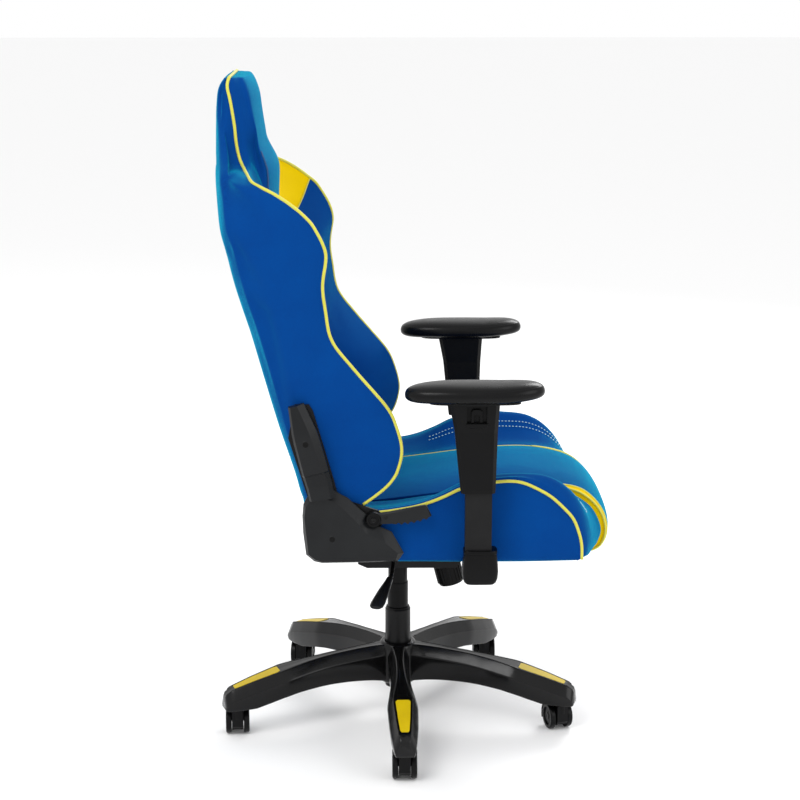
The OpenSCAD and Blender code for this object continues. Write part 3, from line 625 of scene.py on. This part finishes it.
# Middle line of the cushion, over its nose and under to the board.
NOSE = [(-72, 492), (-20, 501), (60, 512), (130, 523), (203, 530), (266, 527), (325, 517),
        (368, 497), (394, 462), (406, 425), (403, 396), (388, 378), (362, 372), (336, 384)]
NOSE_SEAM = [(-72, 484), (-20, 489), (60, 499), (130, 508), (203, 515), (266, 515), (325, 505),
             (358, 488), (381, 462), (391, 432), (388, 405), (376, 390), (356, 384), (336, 388)]
STRIP_START, STRIP_FULL = 274.0, 372.0   # where the yellow strips begin and are at full width
STRIP_WIDE = 19.0
BOARD_Z = 436                      # top of the board under the cushion
STRIP_COLS = 3                     # columns of the cushion's mesh across one strip
SKIRT_FRONT = 326                  # how far forward the bolsters' lower edge runs
BOLSTER_ROWS, CUSHION_ROWS = 84, 96
BOLSTER_COUNTS = [4, 10, 10, 3, 4, 7, 4, 4, 4, 6]
BOLSTER_EDGE = sum(BOLSTER_COUNTS[:3])   # columns of the piping and of the inner seam
BOLSTER_SEAM = sum(BOLSTER_COUNTS[:8])
STITCH_ROWS = ((35, 0.36), (37, 0.62))   # column of each stitched row, and share to the next


def bolster_ring(edge, crest, seam):
    """One slice of the left bolster, from its lower edge over the crest to the cushion."""
    (ex, ez), (cx, cz), (sx, sz) = edge, crest, seam
    floor_x = min(ex, SKIRT_FRONT)
    bottom = SKIRT_Z + 1
    wall = [(share, 1 - (1 - share) ** 1.8) for share in (0.3, 0.65)]
    return section([
        (floor_x, SEAT_Y - 40, bottom), (floor_x, SEAT_Y - 4, bottom),
        (0.5 * (ex + floor_x), SEAT_Y + 2, 0.5 * (ez + bottom)), (ex, SEAT_Y, ez),
        (0.5 * (ex + cx) + 1, SEAT_Y - 9, 0.5 * (ez + cz) + 2.5),
        (cx, SEAT_Y - 27, cz),
        *[(cx + (sx - 3 - cx) * share, SEAT_Y - 27 + (CUSHION_Y + 28 - SEAT_Y) * share,
           cz + (sz - 3 - cz) * fall) for share, fall in wall],
        (sx - 3, CUSHION_Y + 1, sz - 3),
        (sx - 16, CUSHION_Y + 3, max(sz - 30, bottom + 14)),
        (floor_x - 10, CUSHION_Y + 30, bottom + 12)], BOLSTER_COUNTS)


def make_bolster(side, name):
    curves = [spline(c, BOLSTER_ROWS) for c in (SEAT_EDGE, SEAT_CREST, SEAT_SEAM)]
    rings = [bolster_ring(*slice_points) * (1, side, 1) for slice_points in zip(*curves)]
    rings = np.array(rings)
    if side > 0:
        rings = rings[:, ::-1]
    n = rings.shape[1]
    obj = ring_shell(f"seat_bolster_{name}", rings, ["blue"])

    def column(col):
        return n - 1 - col if side > 0 else col

    pinned = np.zeros((BOLSTER_ROWS, n), bool)
    pinned[:, [column(BOLSTER_EDGE), column(BOLSTER_SEAM)]] = True
    pinned[:1] = pinned[-1:] = True
    low = rings[:, :, 2] < SKIRT_Z + 14
    puff(obj, np.r_[(pinned | low).ravel(), True, True], 1.6, 6)
    finish_pad(obj, "seat", "seat_fabric", 0.8, "seat_bolsters")
    outer = rings[2:, column(BOLSTER_EDGE)]
    tube(f"seat_piping_{name}", outer + (0, side * 1.0, 0.5), 2.9, "piping", "seat")
    # two rows of pale stitching on the inner wall, below the crest
    for k, (col, share) in enumerate(STITCH_ROWS):
        line = (rings[22:72, column(col)] * (1 - share)
                + rings[22:72, column(col + 1)] * share)
        stitches(f"seat_stitch_{name}_{k + 1}", line + (0, -side * 0.8, 1.1), "thread", "seat",
                 4.0, 3.0, 0.85)


def strip_width(x, share):
    """Width of the yellow strip at x, or all of it past the cushion's nose."""
    if share < 0.72:
        return STRIP_WIDE * float(ease(x, STRIP_START, STRIP_FULL))
    return STRIP_WIDE


def cushion_grid():
    """Points of the cushion's top, in rows from side to side."""
    middle, seam = spline(NOSE, CUSHION_ROWS), spline(NOSE_SEAM, CUSHION_ROWS)
    grid = []
    for i in range(CUSHION_ROWS):
        wide = max(strip_width(middle[i, 0], i / CUSHION_ROWS), 0.4)
        ys = np.r_[np.linspace(-CUSHION_Y, -CUSHION_Y + wide, STRIP_COLS + 1)[:-1],
                   np.linspace(-CUSHION_Y + wide, CUSHION_Y - wide, 27),
                   np.linspace(CUSHION_Y - wide, CUSHION_Y, STRIP_COLS + 1)[1:]]
        crown = (1 - abs(ys / CUSHION_Y) ** 3.0)[:, None]
        x_z = seam[i] + (middle[i] - seam[i]) * crown
        grid.append(np.stack([x_z[:, 0], ys, x_z[:, 1]], 1))
    return np.array(grid)


def cushion_skirt(grid, verts, faces):
    """Closes the cushion with side walls and an underside."""
    m, n = grid.shape[:2]
    rim = [(i, 0) for i in range(m)] + [(m - 1, j) for j in range(1, n)] + \
          [(i, n - 1) for i in range(m - 2, -1, -1)] + [(0, j) for j in range(n - 2, 0, -1)]
    base, count = len(verts), len(rim)
    for i, j in rim:
        x, y, z = grid[i, j]
        verts.append((min(x, 330) * 0.98, y * 0.97, min(z - 8, 438) if x < 330 else BOARD_Z))
    for k in range(count):
        (i, j), (p, q) = rim[k], rim[(k + 1) % count]
        faces.append((i * n + j, p * n + q, base + (k + 1) % count, base + k))
    verts.append((150, 0, BOARD_Z))
    faces += [(base + k, base + (k + 1) % count, base + count) for k in range(count)]


def make_cushion():
    grid = cushion_grid()
    m, n = grid.shape[:2]
    verts, faces, looks = list(grid.reshape(-1, 3)), [], []
    for i in range(m - 1):
        for j in range(n - 1):
            faces.append((i * n + j, i * n + j + 1, (i + 1) * n + j + 1, (i + 1) * n + j))
            in_strip = j < STRIP_COLS or j >= n - 1 - STRIP_COLS
            looks.append(1 if in_strip and grid[i, j, 0] > STRIP_START else 0)
    cushion_skirt(grid, verts, faces)
    looks += [0] * (len(faces) - len(looks))
    obj = add_mesh("seat_cushion_cover", verts, faces, ["blue", "yellow"], looks)
    pinned = np.ones(len(verts), bool)
    inside = np.zeros((m, n), bool)
    inside[1:-1, STRIP_COLS + 1:-STRIP_COLS - 1] = True
    pinned[: m * n] = ~inside.ravel()
    puff(obj, pinned, 1.0, 6)
    finish_pad(obj, "seat", "seat_fabric", 0.75, "seat_cushion")
    start = int(np.argmax(grid[:, 0, 0] > STRIP_START))
    for side, name in SIDES:
        outer, inner = (0, STRIP_COLS) if side < 0 else (n - 1, n - 1 - STRIP_COLS)
        tube(f"seat_strip_outer_{name}", grid[start:, outer] + (0, 0, 0.6), 2.0,
             "piping", "seat")
        tube(f"seat_strip_inner_{name}", grid[start - 1:, inner] + (0, 0, 0.6), 1.6,
             "piping", "seat")
        first = 2 if side > 0 else 32  # the right seam sinks under its bolster near the back
        tube(f"seat_seam_{name}", grid[first:start + 1, outer], 1.4, "piping", "seat", sides=8)


# ---------------------------------------------------------------- base
BASE_TURN = math.radians(-88.4)
KNEE_X = 245                       # where the insert's flat begins
# Stations along a leg: distance out, top, bottom, half widths of spine, shoulder and foot.
LEG = [(20, 152.3, 78, 15, 22, 20), (40, 152, 79, 11, 21, 19.5), (60, 151, 82, 8.5, 20.5, 19),
       (85, 149.3, 84, 7, 19, 18), (110, 147, 85, 6.5, 18.6, 17.6), (140, 144.2, 85, 7, 19, 18),
       (165, 141, 84, 8, 20.5, 19.5), (190, 137.4, 82, 10.5, 23.4, 22),
       (215, 133, 79, 14, 26.5, 24.4), (233, 129.6, 75.5, 17, 28.8, 26),
       (KNEE_X, 127, 73, 18.3, 29.2, 26.2), (272, 119.6, 65.6, 16.9, 28.4, 25.4),
       (300, 112, 58, 15, 27, 24), (325, 104.2, 56.8, 13, 24.8, 22.4),
       (345, 98, 56, 11, 22, 20), (356, 90, 56.5, 8.5, 19.6, 18), (359, 84, 58, 6.5, 17.5, 16.5)]
# Outline of the hub's collar, spun about the column: (radius, height).
HUB = [(25.2, 78), (25.2, 153), (27, 155), (31, 155.4), (34, 154), (36.5, 150), (38.2, 144),
       (39, 132), (39, 84), (37.5, 76), (34, 73), (28, 73), (25.2, 75)]
HUB_STEPS = 72


def leg_ring(station):
    """Twenty points round a leg: rounded spine edges, shoulder and foot."""
    x, top, low, spine, shoulder, foot = station
    mid = top - 20
    half = [(foot - 3, low), (foot - 0.6, low + 0.7), (foot, low + 3),
            (shoulder, mid - 2.5), (shoulder - 0.4, mid - 0.3), (shoulder - 1.6, mid + 1.4),
            (spine + 1.3, top - 1.5), (spine + 0.2, top - 0.3), (spine - 1.4, top),
            (spine * 0.4, top - 0.6)]
    return [(x, y, z) for y, z in half] + [(x, -y, z) for y, z in half[::-1]]


def leg_stations():
    """The stations of LEG, filled in: smooth up to the knee and straight beyond it."""
    table = np.array(LEG, float)
    xs = np.unique(np.r_[np.linspace(20, KNEE_X, 46), np.linspace(KNEE_X, 356, 22), 357.6, 359])
    dense = np.stack([np.interp(xs, table[:, 0], table[:, k]) for k in range(6)], 1)
    inner = xs <= KNEE_X
    knee = 1 + int(np.argmax(table[:, 0] == KNEE_X))
    for k in range(1, 6):
        smooth = spline(table[:knee, [0, k]], 300)
        dense[inner, k] = np.interp(xs[inner], smooth[:, 0], smooth[:, 1])
    return dense


def leg_turn(i):
    """Rotation, for row vectors, that takes a leg along +X to the place of leg i."""
    a = BASE_TURN + 2 * math.pi / 5 * i
    return np.array([[math.cos(a), -math.sin(a), 0], [math.sin(a), math.cos(a), 0],
                     [0, 0, 1]]).T


def make_base():
    stations = leg_stations()
    rings = np.array([leg_ring(s) for s in stations])
    m, n = rings.shape[:2]
    verts, faces = [], []
    for i in range(5):
        base = len(verts)
        verts += list(rings.reshape(-1, 3) @ leg_turn(i))
        faces += quads(m, n, base)
        faces.append(tuple(base + (m - 1) * n + j for j in range(n)))
        faces.append(tuple(base + j for j in range(n - 1, -1, -1)))
    base = len(verts)
    for r, z in HUB:
        for j in range(HUB_STEPS):
            a = 2 * math.pi * j / HUB_STEPS
            verts.append((r * math.cos(a), r * math.sin(a), z))
    for i in range(len(HUB)):
        low, high = base + i * HUB_STEPS, base + (i + 1) % len(HUB) * HUB_STEPS
        for j in range(HUB_STEPS):
            k = (j + 1) % HUB_STEPS
            faces.append((low + j, high + j, high + k, low + k))
    shell = add_mesh("base_shell", verts, faces, ["gloss"])
    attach(shell, "base")
    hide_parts("base_star")
    ridge = stations[(stations[:, 0] > 40) & (stations[:, 0] < 352)]
    for i in range(5):
        for side, name in SIDES:
            line = np.stack([ridge[:, 0], side * (ridge[:, 3] + 0.3), ridge[:, 1] - 0.2], 1)
            tube(f"leg_ridge_{i + 1}_{name[0]}", line @ leg_turn(i), 0.9, "gloss", "base",
                 sides=6)


# ---------------------------------------------------------------- armrests and covers
def super_ring(half_x, half_y, z, power_x=2.5, power_y=2.25, count=72):
    """A rounded, slightly pointed oval seen from above."""
    a = np.linspace(0, 2 * math.pi, count, endpoint=False)
    c, s = np.cos(a), np.sin(a)
    x = half_x * np.sign(c) * np.abs(c) ** (2 / power_x)
    y = half_y * np.sign(s) * np.abs(s) ** (2 / power_y)
    return np.stack([x, y, np.full(count, z)], 1)


# Layers of an arm pad, and of the plate under it: height, share of length, share of width.
PAD_LAYERS = [(0, 0.80, 0.62), (0.6, 0.87, 0.74), (2.5, 0.94, 0.87), (6, 0.985, 0.965),
              (10.5, 1.0, 1.0), (16, 1.0, 1.0), (20.5, 0.985, 0.972), (23.3, 0.968, 0.935),
              (24.0, 0.960, 0.915), (24.6, 0.950, 0.895), (26.2, 0.935, 0.865),
              (29.5, 0.87, 0.76), (31.8, 0.76, 0.62), (33.2, 0.60, 0.46), (34, 0.38, 0.28),
              (34.3, 0.14, 0.10)]
PLATE_LAYERS = [(0, 0.95, 0.9), (0.8, 1, 1), (6, 1, 1)]
PLATE_HALF = (82, 33)
PLATE_SHOWS = 2.8                  # how far the plate reaches below the pad


def make_pads():
    for _, name in SIDES:
        low, high = (np.array(v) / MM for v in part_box(f"arm_pad_{name}"))
        centre = (low + high) / 2
        half_x, half_y = (high - low)[:2] / 2
        start = low[2] + PLATE_SHOWS
        rings = [super_ring(half_x * a, half_y * b, start + z) + (*centre[:2], 0)
                 for z, a, b in PAD_LAYERS]
        for ring in rings:
            x = ring[:, 0] - centre[0]
            ring[:, 2] += 4.5 * ease(x, 40, half_x) - 2.0 * ease(-x, 50, half_x)
        pad = ring_shell(f"arm_pad_skin_{name}", rings, ["pad"])
        soften(pad)
        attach(pad, f"arm_{name}")
        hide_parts(f"arm_pad_{name}")
        plate = ring_shell(f"arm_plate_{name}", [
            super_ring(PLATE_HALF[0] * a, PLATE_HALF[1] * b, low[2] + z, 5, 5)
            + (*centre[:2], 0) for z, a, b in PLATE_LAYERS], ["arm"])
        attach(plate, f"arm_{name}")


def offset_outline(points, inset):
    """A closed outline moved inwards by inset, or outwards when it is negative."""
    p = np.asarray(points, float)
    before, after = np.roll(p, 1, 0), np.roll(p, -1, 0)
    e1, e2 = p - before, after - p
    n1 = np.stack([-e1[:, 1], e1[:, 0]], 1) / np.linalg.norm(e1, axis=1)[:, None]
    n2 = np.stack([-e2[:, 1], e2[:, 0]], 1) / np.linalg.norm(e2, axis=1)[:, None]
    area = np.sum(p[:, 0] * after[:, 1] - after[:, 0] * p[:, 1])
    mean = n1 + n2
    mean /= np.maximum(np.sum(mean * mean, 1), 0.6)[:, None] / 2
    return p + mean * inset * (1 if area > 0 else -1)


# Side outline of the fixed hinge cover and, paired with it, of its flat face: (forward, height).
HINGE_OUTLINE = [(-167, 531), (-174, 518), (-176, 496), (-175, 464), (-170, 422), (-155, 409),
                 (-141, 406), (-70, 407), (-3, 409), (8, 425), (-14, 465), (-34, 474),
                 (-40, 475.5), (-47, 474), (-55, 476.3), (-60.5, 482.5), (-62, 490),
                 (-59.5, 497.5), (-71, 507), (-93, 529), (-106, 536), (-117, 543), (-135, 545.5),
                 (-153, 541)]
HINGE_FACE = [(-161, 525), (-169, 515), (-172, 495), (-169, 464), (-165, 425), (-152, 415),
              (-139, 411), (-70, 412), (-7, 414), (-3, 427), (-25, 446), (-44, 455),
              (-50, 458), (-54, 460), (-60, 464), (-66, 471), (-71, 477), (-76, 484), (-82, 491),
              (-98, 507), (-108, 516), (-118, 524), (-136, 532), (-152, 532)]
HINGE_Y = (279.4, 281.5, 291.9)    # the cover's foot, the start of its rim and its face
# Stations up the arm cover: rear and front edge, then how far out its face stands.
ARM_COVER = [((-162, 527), (-116, 534), 301.5), ((-168, 552), (-121, 558), 300.5),
             ((-174, 571), (-127, 581), 298.5), ((-175, 574), (-128, 584), 301),
             ((-184, 612), (-137, 620), 302.3), ((-189, 632), (-146, 651), 303),
             ((-193, 652), (-153, 668), 302.5), ((-199, 699), (-171, 706), 295)]
ARM_INNER_Y, ARM_STEP_Y, ARM_STEP_Z = 279.2, 292.6, 551
ARM_SCREW_Y = 303.1


def skin(name, rings, look, body, nodes=(), edge=0.8, turn=28):
    """A hard shell over rings of equal length, with crisp, slightly rounded edges."""
    rings = np.asarray(rings, float)
    m, n = rings.shape[:2]
    faces = [*quads(m, n)]
    faces += [tuple(range(n - 1, -1, -1)), tuple((m - 1) * n + j for j in range(n))]
    obj = add_mesh(name, rings.reshape(-1, 3), faces, [look])
    work = bmesh.new()
    work.from_mesh(obj.data)
    bmesh.ops.recalc_face_normals(work, faces=work.faces)
    work.to_mesh(obj.data)
    work.free()
    obj.data.set_sharp_from_angle(angle=math.radians(turn))
    if edge:
        soft_edges(obj, edge, turn)
    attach(obj, body)
    if nodes:
        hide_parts(*nodes)
    return obj


def side_ring(outline, y):
    p = np.asarray(outline, float)
    return np.stack([p[:, 0], np.full(len(p), y), p[:, 1]], 1)


def turned(name, profile, centre, axis, look, body, steps=32):
    """A turned piece: (radius, height) points spun about an axis through centre."""
    axis = np.array(axis, float) / np.linalg.norm(axis)
    side = np.cross(axis, (0.31, 0.22, 0.92))
    side /= np.linalg.norm(side)
    up = np.cross(axis, side)
    a = np.linspace(0, 2 * math.pi, steps, endpoint=False)[:, None]
    rings = [np.array(centre, float) + h * axis + r * (np.cos(a) * side + np.sin(a) * up)
             for r, h in profile]
    obj = ring_shell(name, rings, [look])
    obj.data.set_sharp_from_angle(angle=math.radians(35))
    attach(obj, body)
    return obj


def screw_hole(name, x, y, z, side, body):
    """A moulded rim round a near-flush disc painted near-black as the shade inside the
    counterbore.
    """
    turned(f"{name}_rim", [(5, -2), (5, 0.1), (5.3, 0.4), (6.2, 0.4), (6.7, 0), (6.7, -2)],
           (x, side * y, z), (0, side, 0), "cover", body)
    # the bore is only a shallow disc; its near-black colour is painted shade, not depth
    turned(f"{name}_bore", [(5.2, -1.5), (5.2, 0.25), (3, 0.25), (2.6, 0.05)],
           (x, side * y, z), (0, side, 0), "hole_shade", body)


def make_covers():
    for side, name in SIDES:
        make_hinge_cover(side, name)
        make_arm_cover(side, name)


def make_hinge_cover(side, name):
    """The fixed cover: straight walls, then a sloping rim up to the flat face."""
    foot, rim, face = HINGE_Y
    skin(f"hinge_cover_skin_{name}",
         [side_ring(HINGE_OUTLINE, side * foot), side_ring(HINGE_OUTLINE, side * rim),
          side_ring(HINGE_FACE, side * face)],
         "cover", "seat", [f"hinge_cover_{name}"], 0.7)
    screw_hole(f"hinge_screw_{name}", -122, face, 454, side, "seat")


def make_arm_cover(side, name):
    """The moving cover, which steps in behind the fixed one at its lower end."""
    rings = []
    for (rx, rz), (fx, fz), out in ARM_COVER:
        inner = ARM_STEP_Y if rz < ARM_STEP_Z else ARM_INNER_Y
        slope = (fz - rz) / (fx - rx)
        nose = 8 if rz < 600 else 12
        row = [(rx, inner), (rx, out - 6), (rx + 4, out), (fx - nose, out), (fx, out - 8),
               (fx, inner)]
        rings.append([(x, side * y, rz + slope * (x - rx)) for x, y in row])
    step = list(rings[1])
    for corner in (0, 5):
        step[corner] = (step[corner][0], side * ARM_STEP_Y, step[corner][2] - 0.4)
    rings.insert(1, step)
    skin(f"arm_cover_skin_{name}", rings, "cover", "back",
         [f"recliner_cover_{name}"], 0.7, 20)
    screw_hole(f"arm_cover_screw_{name}", -168, ARM_SCREW_Y, 634, side, "back")


RIPPLE_START, RIPPLE_PITCH, RIPPLE_DEPTH = -5, 11.5, 2.0
LEVER_Y = 290                      # outer face of the recline lever's boss


def ripple(x):
    """Height of the recline lever's underside, with its finger ripples."""
    run = x - RIPPLE_START
    return (481.5 + 0.0036 * max(run, 0) ** 2
            + RIPPLE_DEPTH * math.sin(run * 2 * math.pi / RIPPLE_PITCH))


def make_recline_lever():
    under = [(x, ripple(x)) for x in np.arange(-6, 54.5, 1.0)]
    grip = [(-50, 482), (-30, 481), (-14, 481.5), *under, (58, 497), (50, 513.5), (46, 516.5),
            (-18, 503.5), (-50, 499)]
    middle = np.array(grip).mean(0)
    inset = middle + (np.array(grip) - middle) * (0.975, 0.88)
    skin("recline_grip", [side_ring(inset, -279), side_ring(grip, -280.5),
                          side_ring(grip, -286.2), side_ring(inset, -288)],
         "cover", "recline_lever", ["recline_lever"], 0)
    turned("recline_boss", [(4, -27), (4, -14), (13.6, -14), (14, -13), (14, -1.5), (12.8, 0),
                            (9, 0), (8.4, -0.8), (5, -0.8)],
           (-47, -LEVER_Y, 489), (0, -1, 0), "arm", "recline_lever", 48)
    turned("recline_bolt", [(4.6, -1), (4.6, 1.6), (3.8, 2.2), (2.4, 2.2), (2.0, 1.0)],
           (-47, -LEVER_Y, 489), (0, -1, 0), "coat", "recline_lever", 6)
    turned("recline_screw", [(3.4, -1), (3.4, 0.7), (2.6, 1.3), (1.2, 1.3), (1.0, 0.6)],
           (-25, -288, 493.5), (0, -1, 0), "coat", "recline_lever", 24)


# Layers of the boot at the foot of an arm post: height, half length, half width.
BOOT_LAYERS = [(373.2, 21, 12), (374.2, 25.5, 16), (377.5, 29, 18.6), (385, 31.8, 20.3),
               (397, 33, 21), (411, 32.3, 20.4), (427, 30.4, 19), (431.2, 29.6, 18.6),
               (432.2, 30.8, 19.5), (436.8, 30.8, 19.5), (438, 30, 18.8), (438, 25, 14)]
POST_X, POST_Y = 146, 300
# Outlines of the trigger and of the lip under it: (forward, height).
TRIGGER = [(127, 678), (127, 697), (130.5, 701.5), (137, 702), (143.5, 701.5), (147, 697),
           (147, 678), (142.4, 678), (142.4, 690), (139.5, 692.5), (134.5, 692.5),
           (131.6, 690), (131.6, 678)]
LIP = [(116, 677), (158, 677), (157, 672), (150, 668.4), (137, 667), (124, 668.4), (117, 672)]


def make_arms():
    for side, name in SIDES:
        rings = [super_ring(a, b, z, 4.5, 4.5) + (POST_X, side * POST_Y, 0)
                 for z, a, b in BOOT_LAYERS]
        boot = ring_shell(f"arm_boot_skin_{name}", rings, ["arm"])
        boot.data.set_sharp_from_angle(angle=math.radians(40))
        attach(boot, "seat")
        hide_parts(f"arm_boot_{name}")
        skin(f"arm_trigger_skin_{name}",
             [side_ring(TRIGGER, side * 315.4), side_ring(TRIGGER, side * 321.3)],
             "arm", f"arm_button_{name}", [f"arm_button_{name}"], 0.5)
        skin(f"arm_trigger_lip_{name}",
             [side_ring(LIP, side * 315), side_ring(LIP, side * 322.6),
              side_ring(offset_outline(LIP, 1.4), side * 324)],
             "arm", f"arm_{name}", (), 0.4)


# ---------------------------------------------------------------- put together
make_camera()
make_stage()
dress_cad()
make_back()
for half, half_name in SIDES:
    make_bolster(half, half_name)
make_cushion()
make_base()
make_pads()
make_covers()
make_recline_lever()
make_arms()
